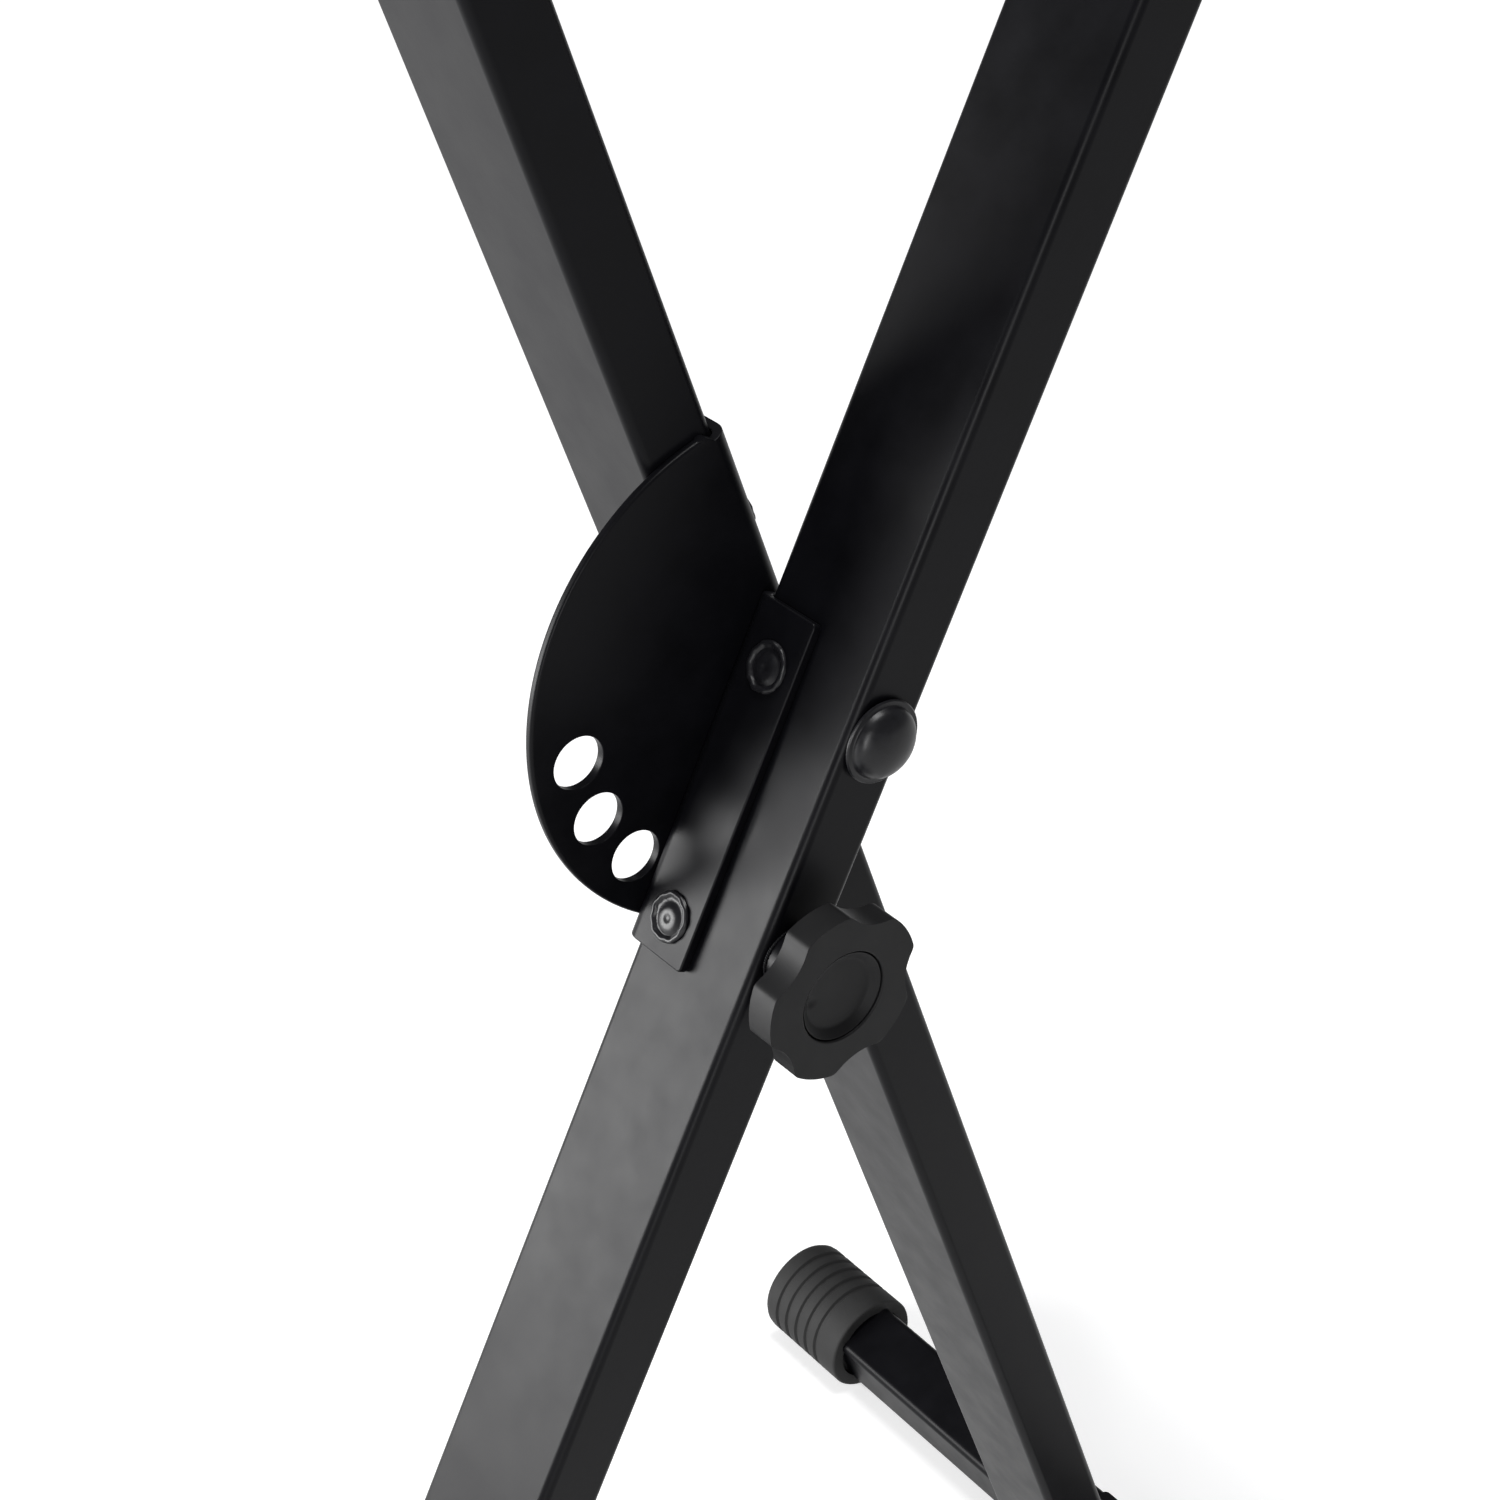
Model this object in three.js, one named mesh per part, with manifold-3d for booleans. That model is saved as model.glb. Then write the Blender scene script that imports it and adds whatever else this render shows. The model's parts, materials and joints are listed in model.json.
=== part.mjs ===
// Folding X keyboard stand: two rectangular steel leg tubes crossed on one pivot bolt, with a
// half-round locking plate on the rear leg and a star knob on the front leg, whose stud drops
// into one of the plate's holes. Millimetres, +Z up.
// Origin: on the floor under the pivot, half way between the two leg tubes. +Y goes to the back.
// Each leg is drawn upright in its own frame, with Z along the tube and the origin on the
// pivot's axis, and is then leaned over. `side` is -1 for the front leg and +1 for the rear leg:
// the sign of the leg's Y, and also of the X side that the flange of its sheet part is on.
import * as THREE from 'three';
import { mergeVertices } from 'three/addons/utils/BufferGeometryUtils.js';
import Module from 'manifold-3d';

const wasm = await Module();
wasm.setup();

// ---------- driving dimensions ----------
const slip = 0.3;                // clearance between pieces that touch or slide
const boltClearance = 0.6;       // how much wider a bolt hole is than its bolt
const tipChamfer = 1;            // chamfer on the tips of the bolts and of the knob's stud
const boltTipProud = 2;          // how far a bolt's tip stands out of its nut

// leg tubes
const tubeWidth = 20;            // left to right
const tubeDepth = 40;            // front to back
const tubeWall = 1.2;
const tubeCorner = 2.5;          // outside corner radius
const tubeHalfLength = 485;      // pivot to either end of the tube
const restOpening = 46.5;        // angle between the legs at the first lock hole

// locking plate and front bracket, both bent from sheet
const sheet = 2.5;
const bendRadius = 2;            // inside radius of the bends
const flangeDepth = 22.5;        // how far a flange reaches from the plane between the legs
const openingStep = 19;          // angle between neighbouring lock holes
const openSettings = 4;          // lock holes for use; one more holds the stand folded
const lockRadius = 56;           // pivot axis to the lock holes
const lockHole = 14;             // lock hole diameter
const plateMargin = 6;           // metal between the lock holes and the plate's round edge
const plateChamfer = 2;          // cut-off corners at the ends of the round edge
const bracketTop = 19;           // upper end of the bracket, above the pivot
const bracketMargin = 17;        // lower end of the bracket, below the lock holes' circle
const bracketTongue = 8;         // how far the bracket reaches past the tube's middle

// rivets that hold the two sheet parts
const bracketRivetSetback = 13;  // bracket's rivet axes to the plane between the legs
const plateRivetSetback = 12;    // plate's rivet axes to the same plane
const upperRivetHeight = 4;      // bracket's upper rivet, above the pivot
const lowerRivetMargin = 10.5;   // bracket's lower rivet, above the bracket's lower end
const plateRivetHeight = 37;     // plate's rivets, above and below the pivot
const rivetShank = 6;
const rivetHead = 13;
const bracketRivetHead = 1.2;    // height of the bracket's rivet heads
const plateRivetHead = 2;        // height of the plate's rivet heads
const rivetHeadSlope = 0.8;      // sloped edge of the head
const rivetDimple = 10;          // round dish that the setting tool presses into the head
const rivetDimpleDepth = 0.8;
const rivetTail = 9;             // upset end inside the tube
const rivetTailDepth = 1.2;

// pivot
const pivotBolt = 10;
const pivotHead = 21.6;          // thin flange of the head
const pivotHeadSeat = 19;        // face of the flange that sits on the tube
const pivotHeadFlange = 1.8;     // outer face of the flange, above the tube
const pivotHeadUndercut = 1;     // slope under the flange's edge
const pivotDome = 18.6;          // dome on the flange
const pivotHeadHeight = 6.8;
const spacerOuter = 14;          // spacers round the bolt that keep the tubes from crushing
const washerOuter = 20;
const washerThickness = 2;
const nutAcrossFlats = 17;
const nutHeight = 10;

// star knob, its stud and its boss
const knobDiameter = 44;
const knobLobes = 5;
const knobScallop = 29;          // diameter of the round bites between the lobes
const knobScallopDepth = 2.9;    // how far a bite reaches in from the lobes' circle
const knobPhase = 57;            // angle of the first lobe in the leg's frame, anticlockwise from its right
const knobRim = 8;               // thickness of the lobed rim
const knobEdge = 0.8;            // step of the rim's eased edges
const knobHubWall = 1.9;         // wall of the hub that slides over the boss
const knobDish = 24;             // round dish in the knob's face
const knobDishDepth = 4;
const knobCapThickness = 1.4;    // cover in the bottom of the dish
const knobWeb = 1;               // plastic between the dish and the stud's end
const knobStroke = 6;            // travel of the knob from drawn out to locked
const studRadius = 57.5;         // pivot axis to the stud, which has play in the lock holes
const studDiameter = 10;
const studSeat = 3.2;            // how deep the stud is moulded into the knob
const bossOuter = 16;            // threaded boss on the front leg
const bossHeight = 5.5;
const clipOuter = 15;            // retaining clip on the stud, inside the tube
const clipThickness = 1.2;
const clipGroove = 1;            // depth of the stud's groove for the clip

// floor bars and top arms with their fixings
const barSize = 25;              // square tube
const barWall = 1.2;
const barCorner = 3;
const floorBarLength = 420;
const topArmLength = 350;
const endPlate = 3;              // thickness of the plates that close the leg tubes
const barBolt = 8;
const barBoltSpacing = 24;
const barBoltHead = 14;          // button head
const barBoltCrown = 9.4;        // flat top of the head
const barBoltHeadHeight = 4.4;
const barBoltHeadRim = 1.5;      // straight edge of the head
const barBoltSocket = 4;
const barBoltSocketDepth = 2.2;
const barNutAcrossFlats = 13;
const barNutHeight = 6.5;

// rubber
const footRadius = 20;           // foot about its bar's axis
const footLength = 45;
const capEndWall = 4;            // rubber past the end of a bar
const sleeveRadius = 19;         // sleeve about its arm's axis
const sleeveLength = 95;
const lipLength = 12;            // raised lip at the arm's end
const lipStep = 1;               // how far the lip stands out of the sleeve at the sides
const lipRise = 10;              // and how much further at the top

// fineness of the round shapes; an arc has twice the steps given here, so a hole has 16 sides
// and a tube's corner four steps
const holeSteps = 8;
const cornerSteps = 2;
const lipSteps = 6;
const ringSteps = 10;
const knobSteps = 16;
const plateSteps = 20;
const domeSteps = 4;
const turnedSides = 20;
const rivetSides = 16;
const barBoltSides = 12;
const rubberFacets = 24;
const overcut = 1;               // how far a cutter runs past the face it cuts

// ---------- derived sizes ----------
const lean = THREE.MathUtils.degToRad(restOpening / 2);
const innerFace = sheet;                       // bracket and plate fill the gap between the legs
const outerFace = innerFace + tubeDepth;       // |y| of the front and back faces
const tubeMiddle = innerFace + tubeDepth / 2;
const flangeInner = tubeWidth / 2 + slip;
const flangeOuter = flangeInner + sheet;
const bracketBottom = lockRadius + bracketMargin;
const lowerRivetHeight = lowerRivetMargin - bracketBottom;
const plateRadius = lockRadius + lockHole / 2 + plateMargin;
const lipRadius = sleeveRadius + lipStep;
const barOffset = Math.max(footRadius, lipRadius) + slip;   // bars lie side by side when folded
const barAxisHeight = tubeHalfLength + endPlate + slip + barSize / 2;
const pivotHeight = barAxisHeight * Math.cos(lean) - barOffset * Math.sin(lean) + footRadius;
const nutStart = outerFace + washerThickness;
const hubEnd = -outerFace - knobStroke;
const bossTop = -outerFace - bossHeight;
const hubRecess = bossTop - knobStroke - slip; // bottom of the recess that swallows the boss
const studStart = hubRecess - studSeat;
const dishFloor = studStart - knobWeb;
const knobFace = dishFloor - knobDishDepth;
const rimBack = knobFace + knobRim;
const clipFront = -outerFace + tubeWall + slip;
const studBore = studDiameter + boltClearance;
const pivotBore = pivotBolt + boltClearance;
const rivetAxis = (side) => side * (side < 0 ? bracketRivetSetback : plateRivetSetback);

// ---------- materials ----------
const paint = () => new THREE.MeshStandardMaterial({ color: 0x141416, roughness: 0.42, metalness: 0.1 });
const plastic = () => new THREE.MeshStandardMaterial({ color: 0x161617, roughness: 0.6, metalness: 0 });
const rubber = () => new THREE.MeshStandardMaterial({ color: 0x1b1b1b, roughness: 0.85, metalness: 0 });
const steel = () => new THREE.MeshStandardMaterial({ color: 0x8b8d90, roughness: 0.35, metalness: 1 });
const blackSteel = () => new THREE.MeshStandardMaterial({ color: 0x1c1c1e, roughness: 0.38, metalness: 0.6 });

// ---------- outlines ----------
function circle(radius, x = 0, y = 0) {
  const shape = new THREE.Shape();
  shape.absarc(x, y, radius, 0, 2 * Math.PI, false);
  return shape;
}

function roundedRectangle(width, height, radius, x = 0, y = 0) {
  const shape = new THREE.Shape();
  const dx = width / 2 - radius;
  const dy = height / 2 - radius;
  shape.absarc(x + dx, y - dy, radius, -Math.PI / 2, 0, false);
  shape.absarc(x + dx, y + dy, radius, 0, Math.PI / 2, false);
  shape.absarc(x - dx, y + dy, radius, Math.PI / 2, Math.PI, false);
  shape.absarc(x - dx, y - dy, radius, Math.PI, 1.5 * Math.PI, false);
  shape.closePath();
  return shape;
}

function tubeSection(width, height, corner, wall, x, y) {
  const section = roundedRectangle(width, height, corner, x, y);
  const innerCorner = Math.max(corner - wall, slip);
  section.holes.push(roundedRectangle(width - 2 * wall, height - 2 * wall, innerCorner, x, y));
  return section;
}

// corners on a circle, the first one at angle `start`
function regularPolygon(corners, radius, start = 0) {
  const shape = new THREE.Shape();
  for (let k = 0; k < corners; k += 1) {
    const angle = start + (k * 2 * Math.PI) / corners;
    const point = [radius * Math.cos(angle), radius * Math.sin(angle)];
    if (k === 0) shape.moveTo(...point);
    else shape.lineTo(...point);
  }
  shape.closePath();
  return shape;
}

// nut with a round bore
function nutSection(acrossFlats, bore) {
  const shape = regularPolygon(6, acrossFlats / 2 / Math.cos(Math.PI / 6));
  shape.holes.push(circle(bore / 2));
  return shape;
}

// round made of flats at the given radius, turned so that a leaning leg holds one of them level
function facetedRound(radius, turn) {
  const half = Math.PI / rubberFacets;
  return regularPolygon(rubberFacets, radius / Math.cos(half), turn + half);
}

// ---------- solids ----------
function extrude(shape, depth, curveSegments) {
  return new THREE.ExtrudeGeometry(shape, { depth, bevelEnabled: false, curveSegments });
}

// outline in X and Z, between two values of Y
function alongY(shape, a, b, steps = holeSteps) {
  return extrude(shape, Math.abs(b - a), steps).rotateX(Math.PI / 2).translate(0, Math.max(a, b), 0);
}

// outline in X and Y, between two values of Z
function alongZ(shape, a, b, steps = holeSteps) {
  return extrude(shape, Math.abs(b - a), steps).translate(0, 0, Math.min(a, b));
}

function drillX(diameter, y, z, a, b) {
  return extrude(circle(diameter / 2), Math.abs(b - a), holeSteps)
    .rotateY(Math.PI / 2).translate(Math.min(a, b), y, z);
}

function drillY(diameter, x, z, a, b) {
  return alongY(circle(diameter / 2, x, z), a, b);
}

function drillZ(diameter, x, y, a, b) {
  return alongZ(circle(diameter / 2, x, y), a, b);
}

// turned piece: profile of [radius, y] pairs about the Y axis, starting and ending on it
function turned(profile, sides = turnedSides) {
  return new THREE.LatheGeometry(profile.map(([r, y]) => new THREE.Vector2(r, y)), sides);
}

function ring(outer, bore, a, b) {
  const shape = circle(outer / 2);
  shape.holes.push(circle(bore / 2));
  return alongY(shape, a, b, ringSteps);
}

function toManifold(geometry) {
  const bare = geometry.clone();
  bare.deleteAttribute('normal');
  bare.deleteAttribute('uv');
  const merged = mergeVertices(bare, 1e-5);
  return new wasm.Manifold(new wasm.Mesh({
    numProp: 3,
    vertProperties: Float32Array.from(merged.attributes.position.array),
    triVerts: Uint32Array.from(merged.index.array),
  }));
}

function fromManifold(solid) {
  const mesh = solid.getMesh();
  const geometry = new THREE.BufferGeometry();
  geometry.setAttribute('position', new THREE.BufferAttribute(mesh.vertProperties, 3));
  geometry.setIndex(new THREE.BufferAttribute(mesh.triVerts, 1));
  geometry.computeVertexNormals();
  return geometry;
}

function cut(geometry, ...cutters) {
  const whole = toManifold(geometry);
  return fromManifold(cutters.reduce((solid, cutter) => solid.subtract(toManifold(cutter)), whole));
}

function join(geometry, ...others) {
  const whole = toManifold(geometry);
  return fromManifold(others.reduce((solid, other) => solid.add(toManifold(other)), whole));
}

function node(group, name, geometry, material) {
  const mesh = new THREE.Mesh(geometry, material);
  mesh.name = name;
  group.add(mesh);
}

// ---------- leg tubes ----------
function legTube(side, rivetHeights) {
  const section = tubeSection(tubeWidth, tubeDepth, tubeCorner, tubeWall, 0, side * tubeMiddle);
  const tube = alongZ(section, -tubeHalfLength, tubeHalfLength, cornerSteps);
  const flangeWall = side * (tubeWidth / 2 - tubeWall / 2);
  const rivetHoles = rivetHeights.map((height) => drillX(
    rivetShank + boltClearance, rivetAxis(side), height, flangeWall - tubeWall, flangeWall + tubeWall,
  ));
  const pivotHole = drillY(pivotBore, 0, 0, -outerFace - overcut, outerFace + overcut);
  // the stud passes through the front leg and, folded, into the rear leg's inner wall
  const lockCut = side < 0
    ? drillY(studBore, 0, -studRadius, -outerFace - overcut, 0)
    : drillY(lockHole, 0, -lockRadius, 0, innerFace + 2 * tubeWall);
  return cut(tube, pivotHole, lockCut, ...rivetHoles);
}

// ---------- sheet parts ----------
// L section: along X against the leg's inner face, bent round the tube's edge and back down its
// side. Drawn for the rear leg; the front leg's is the same turned half round the leg's own axis.
function bentSheet(side, tongueEnd, a, b) {
  const outerBend = bendRadius + sheet;
  const bendX = flangeOuter - outerBend;
  const section = new THREE.Shape();
  section.moveTo(-tongueEnd, 0);
  section.lineTo(bendX, 0);
  section.absarc(bendX, outerBend, outerBend, -Math.PI / 2, 0, false);
  section.lineTo(flangeOuter, flangeDepth);
  section.lineTo(flangeInner, flangeDepth);
  section.absarc(bendX, outerBend, bendRadius, 0, -Math.PI / 2, true);
  section.lineTo(-tongueEnd, sheet);
  section.closePath();
  const solid = alongZ(section, a, b, cornerSteps);
  return side > 0 ? solid : solid.rotateZ(Math.PI);
}

function flangeHoles(side, rivetHeights) {
  return rivetHeights.map((height) => drillX(
    rivetShank + boltClearance, rivetAxis(side), height, 0, side * (flangeOuter + overcut),
  ));
}

function frontBracket(rivetHeights) {
  return cut(
    bentSheet(-1, bracketTongue, -bracketBottom, bracketTop),
    drillY(pivotBore, 0, 0, -sheet - overcut, overcut),
    drillY(studBore, 0, -studRadius, -sheet - overcut, overcut),
    ...flangeHoles(-1, rivetHeights),
  );
}

// lock holes on one circle: at each opening angle one of them lies behind the stud
function lockHoles() {
  const openings = [0];
  for (let k = 0; k < openSettings; k += 1) openings.push(restOpening + k * openingStep);
  return openings.map((opening) => {
    const angle = THREE.MathUtils.degToRad(opening);
    const x = -lockRadius * Math.sin(angle);
    const z = -lockRadius * Math.cos(angle);
    return drillY(lockHole, x, z, -overcut, sheet + overcut);
  });
}

// half-round plate whose straight edge is bent back along the rear leg's right side
function lockingPlate(rivetHeights) {
  const bendX = flangeOuter - bendRadius - sheet;
  const cornerZ = Math.sqrt(plateRadius ** 2 - bendX ** 2) - plateChamfer;
  const arcStart = Math.acos((bendX - plateChamfer) / plateRadius);
  const outline = new THREE.Shape();
  outline.moveTo(bendX, -cornerZ);
  outline.lineTo(bendX, cornerZ);
  outline.absarc(0, 0, plateRadius, arcStart, 2 * Math.PI - arcStart, false);
  outline.closePath();
  return cut(
    join(alongY(outline, 0, sheet, plateSteps), bentSheet(1, 0, -cornerZ, cornerZ)),
    drillY(pivotBore, 0, 0, -overcut, sheet + overcut),
    ...lockHoles(),
    ...flangeHoles(1, rivetHeights),
  );
}

// rivet along X: head outside the flange, upset end inside the tube
function rivet(side, height) {
  const headHeight = side < 0 ? bracketRivetHead : plateRivetHead;
  const headFace = flangeOuter + slip;
  const headTop = headFace + headHeight;
  const tailFace = tubeWidth / 2 - tubeWall - slip;
  const tailEnd = tailFace - rivetTailDepth;
  return turned([
    [0, tailEnd],
    [(rivetTail - rivetTailDepth) / 2, tailEnd],
    [rivetTail / 2, tailFace],
    [rivetShank / 2, tailFace],
    [rivetShank / 2, headFace],
    [rivetHead / 2, headFace],
    [rivetHead / 2, headTop - rivetHeadSlope],
    [rivetHead / 2 - rivetHeadSlope, headTop],
    [rivetDimple / 2, headTop],
    [0, headTop - rivetDimpleDepth],
  ], rivetSides).rotateZ(-side * Math.PI / 2).translate(0, rivetAxis(side), height);
}

// ---------- pivot ----------
function pivotBoltBody() {
  const tip = nutStart + nutHeight + boltTipProud;
  const dome = [];
  for (let k = 0; k <= domeSteps; k += 1) {
    const angle = (k * Math.PI) / 2 / domeSteps;
    const rise = (pivotHeadHeight - pivotHeadFlange) * Math.cos(angle);
    dome.push([(pivotDome / 2) * Math.sin(angle), -outerFace - pivotHeadFlange - rise]);
  }
  return turned([
    ...dome,
    [pivotHead / 2, -outerFace - pivotHeadFlange],
    [pivotHead / 2, -outerFace - pivotHeadUndercut],
    [pivotHeadSeat / 2, -outerFace],
    [pivotBolt / 2, -outerFace],
    [pivotBolt / 2, tip - tipChamfer],
    [pivotBolt / 2 - tipChamfer, tip],
    [0, tip],
  ]);
}

// ---------- knob, about the stud's axis ----------
// disc with a round bite between every two lobes; `inset` draws it in for the eased edges
function lobedDisc(inset, a, b) {
  const bites = [];
  for (let k = 0; k < knobLobes; k += 1) {
    const angle = THREE.MathUtils.degToRad(knobPhase) + ((k + 0.5) * 2 * Math.PI) / knobLobes;
    const reach = (knobDiameter + knobScallop) / 2 - knobScallopDepth;
    const bite = circle(knobScallop / 2 + inset, reach * Math.cos(angle), reach * Math.sin(angle));
    bites.push(alongY(bite, a - overcut, b + overcut));
  }
  return cut(alongY(circle(knobDiameter / 2 - inset), a, b, knobSteps), ...bites);
}

function knobHead() {
  const recessRadius = bossOuter / 2 + boltClearance;
  const hub = alongY(circle(recessRadius + knobHubWall), rimBack - knobEdge, hubEnd);
  const recess = alongY(circle(recessRadius), hubRecess, hubEnd + overcut);
  const dish = alongY(circle(knobDish / 2), knobFace - overcut, dishFloor);
  const studPocket = alongY(circle(studBore / 2), studStart, hubRecess + overcut);
  const body = join(
    lobedDisc(0, knobFace + knobEdge, rimBack - knobEdge),
    lobedDisc(knobEdge, knobFace, knobFace + knobEdge),
    lobedDisc(knobEdge, rimBack - knobEdge, rimBack),
    hub,
  );
  return cut(body, recess, dish, studPocket);
}

function knobCap() {
  const floor = dishFloor - slip;
  return alongY(circle(knobDish / 2 - slip), floor - knobCapThickness, floor, ringSteps);
}

// stud with the groove that its clip sits in
function knobStud() {
  const grooveStart = clipFront - slip;
  const grooveEnd = clipFront + clipThickness + slip;
  const core = studDiameter / 2 - clipGroove;
  return turned([
    [0, studStart + slip],
    [studDiameter / 2, studStart + slip],
    [studDiameter / 2, grooveStart],
    [core, grooveStart],
    [core, grooveEnd],
    [studDiameter / 2, grooveEnd],
    [studDiameter / 2, -slip - tipChamfer],
    [studDiameter / 2 - tipChamfer, -slip],
    [0, -slip],
  ]);
}

function studClip() {
  const bore = studDiameter - 2 * clipGroove + boltClearance;
  return ring(clipOuter, bore, clipFront, clipFront + clipThickness);
}

// ---------- floor bars, top arms and their fixings ----------
// end: -1 bottom of the leg, +1 top. out: the X side of the leg that the bar is on.
function boltPlaces(side) {
  return [-1, 1].map((k) => side * tubeMiddle + (k * barBoltSpacing) / 2);
}

function endPlateSolid(side, end, out) {
  const inner = -out * tubeWidth / 2;
  const outer = out * (barOffset + barSize / 2 - slip);
  const middle = (inner + outer) / 2;
  const outline = roundedRectangle(Math.abs(outer - inner), tubeDepth, tubeCorner, middle, side * tubeMiddle);
  const near = end * tubeHalfLength;
  const far = near + end * endPlate;
  const holes = boltPlaces(side).map((y) => (
    drillZ(barBolt + boltClearance, out * barOffset, y, near - end * overcut, far + end * overcut)
  ));
  return cut(alongZ(outline, near, far, cornerSteps), ...holes);
}

function bar(side, end, out, length) {
  const x = out * barOffset;
  const z = end * barAxisHeight;
  const section = tubeSection(barSize, barSize, barCorner, barWall, x, z);
  const holes = boltPlaces(side).map((y) => (
    drillZ(barBolt + boltClearance, x, y, z - barSize, z + barSize)
  ));
  return cut(alongY(section, -length / 2, length / 2, cornerSteps), ...holes);
}

// button-head bolt from the bar's outside through bar and end plate
function barBoltSolid(end, out, y) {
  const headFace = barAxisHeight + barSize / 2 + slip;
  const crown = headFace + barBoltHeadHeight;
  const tip = tubeHalfLength - slip - barNutHeight - boltTipProud;
  const profile = [
    [0, tip],
    [barBolt / 2 - tipChamfer, tip],
    [barBolt / 2, tip + tipChamfer],
    [barBolt / 2, headFace],
    [barBoltHead / 2, headFace],
    [barBoltHead / 2, headFace + barBoltHeadRim],
    [barBoltCrown / 2, crown],
    [barBoltSocket / 2, crown],
    [barBoltSocket / 2, crown - barBoltSocketDepth],
    [0, crown - barBoltSocketDepth],
  ];
  return turned(profile, barBoltSides).rotateX(end * Math.PI / 2).translate(out * barOffset, y, 0);
}

function barNut(end, out, y) {
  const face = end * (tubeHalfLength - slip);
  const section = nutSection(barNutAcrossFlats, barBolt + boltClearance);
  return alongZ(section, face, face - end * barNutHeight).translate(out * barOffset, y, 0);
}

// hollow of a rubber piece for the end of its bar; yEnd is -1 at the front and +1 at the back
function barPocket(open, barEnd, yEnd) {
  const section = roundedRectangle(barSize + 2 * slip, barSize + 2 * slip, barCorner + slip);
  return alongY(section, yEnd * (open - overcut), yEnd * (barEnd + slip), cornerSteps);
}

function footCap(out, yEnd) {
  const barEnd = floorBarLength / 2;
  const outer = barEnd + capEndWall;
  const open = outer - footLength;
  const body = alongY(facetedRound(footRadius, -out * lean), yEnd * open, yEnd * outer);
  return cut(body, barPocket(open, barEnd, yEnd)).translate(out * barOffset, 0, -barAxisHeight);
}

// rubber sleeve of an arm, with a raised lip at the arm's end
function armCap(out, yEnd) {
  const barEnd = topArmLength / 2;
  const outer = barEnd + capEndWall;
  const open = outer - sleeveLength;
  const sleeve = alongY(facetedRound(sleeveRadius, out * lean), yEnd * open, yEnd * outer);
  const outline = new THREE.Shape();
  outline.absarc(0, lipRise, lipRadius, 0, Math.PI, false);
  outline.absarc(0, 0, lipRadius, Math.PI, 2 * Math.PI, false);
  outline.closePath();
  const lip = alongY(outline, yEnd * (outer - lipLength), yEnd * outer, lipSteps);
  return cut(join(sleeve, lip), barPocket(open, barEnd, yEnd)).translate(out * barOffset, 0, barAxisHeight);
}

// ---------- assembly ----------
const stand = new THREE.Group();
const frontLeg = new THREE.Group();
const rearLeg = new THREE.Group();
frontLeg.rotation.y = lean;
rearLeg.rotation.y = -lean;
frontLeg.position.z = pivotHeight;
rearLeg.position.z = pivotHeight;
stand.add(frontLeg, rearLeg);

// one end of a leg: end plate, bar or arm, and its two bolts and nuts
function barPieces(group, prefix, kind, side, end, out, length) {
  node(group, `${prefix}_plate`, endPlateSolid(side, end, out), paint());
  node(group, `${prefix}_${kind}`, bar(side, end, out, length), paint());
  boltPlaces(side).forEach((y, index) => {
    node(group, `${prefix}_bolt_${index + 1}`, barBoltSolid(end, out, y), blackSteel());
    node(group, `${prefix}_nut_${index + 1}`, barNut(end, out, y), blackSteel());
  });
}

// what both legs have: the front leg's floor bar is on its left, the rear leg's on its right
function commonPieces(group, name, side) {
  barPieces(group, `${name}_floor`, 'bar', side, -1, side, floorBarLength);
  barPieces(group, `${name}_top`, 'arm', side, 1, -side, topArmLength);
  for (const [where, yEnd] of [['front', -1], ['back', 1]]) {
    node(group, `${name}_leg_foot_${where}`, footCap(side, yEnd), rubber());
    node(group, `${name}_leg_arm_cap_${where}`, armCap(-side, yEnd), rubber());
  }
  const middle = side * tubeMiddle;
  const half = tubeDepth / 2 - tubeWall - slip;
  node(group, `${name}_pivot_spacer`, ring(spacerOuter, pivotBore, middle - half, middle + half), steel());
}

// front leg: bracket, pivot bolt, boss and knob
const bracketRivets = [upperRivetHeight, lowerRivetHeight];
const nutEnd = nutStart + nutHeight;
const nutSolid = alongY(nutSection(nutAcrossFlats, pivotBore), nutStart, nutEnd);
node(frontLeg, 'front_leg_tube', legTube(-1, bracketRivets), paint());
commonPieces(frontLeg, 'front', -1);
node(frontLeg, 'front_bracket', frontBracket(bracketRivets), paint());
node(frontLeg, 'bracket_rivet_upper', rivet(-1, upperRivetHeight), blackSteel());
node(frontLeg, 'bracket_rivet_lower', rivet(-1, lowerRivetHeight), blackSteel());
node(frontLeg, 'pivot_bolt', pivotBoltBody(), blackSteel());
node(frontLeg, 'pivot_washer', ring(washerOuter, pivotBore, outerFace, nutStart), steel());
node(frontLeg, 'pivot_lock_nut', nutSolid, steel());

const knobPlace = new THREE.Group();
knobPlace.position.z = -studRadius;
frontLeg.add(knobPlace);
node(knobPlace, 'stud_boss', ring(bossOuter, studBore, bossTop, -outerFace), paint());
node(knobPlace, 'stud_clip', studClip(), steel());
node(knobPlace, 'knob_stud', knobStud(), steel());
node(knobPlace, 'knob_head', knobHead(), plastic());
node(knobPlace, 'knob_cap', knobCap(), plastic());

// rear leg: locking plate
const plateRivets = [plateRivetHeight, -plateRivetHeight];
node(rearLeg, 'rear_leg_tube', legTube(1, plateRivets), paint());
commonPieces(rearLeg, 'rear', 1);
node(rearLeg, 'locking_plate', lockingPlate(plateRivets), paint());
node(rearLeg, 'plate_rivet_upper', rivet(1, plateRivetHeight), blackSteel());
node(rearLeg, 'plate_rivet_lower', rivet(1, -plateRivetHeight), blackSteel());

export default stand;
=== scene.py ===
import json
import math

import bmesh
import bpy
from mathutils import Matrix, Vector


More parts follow.
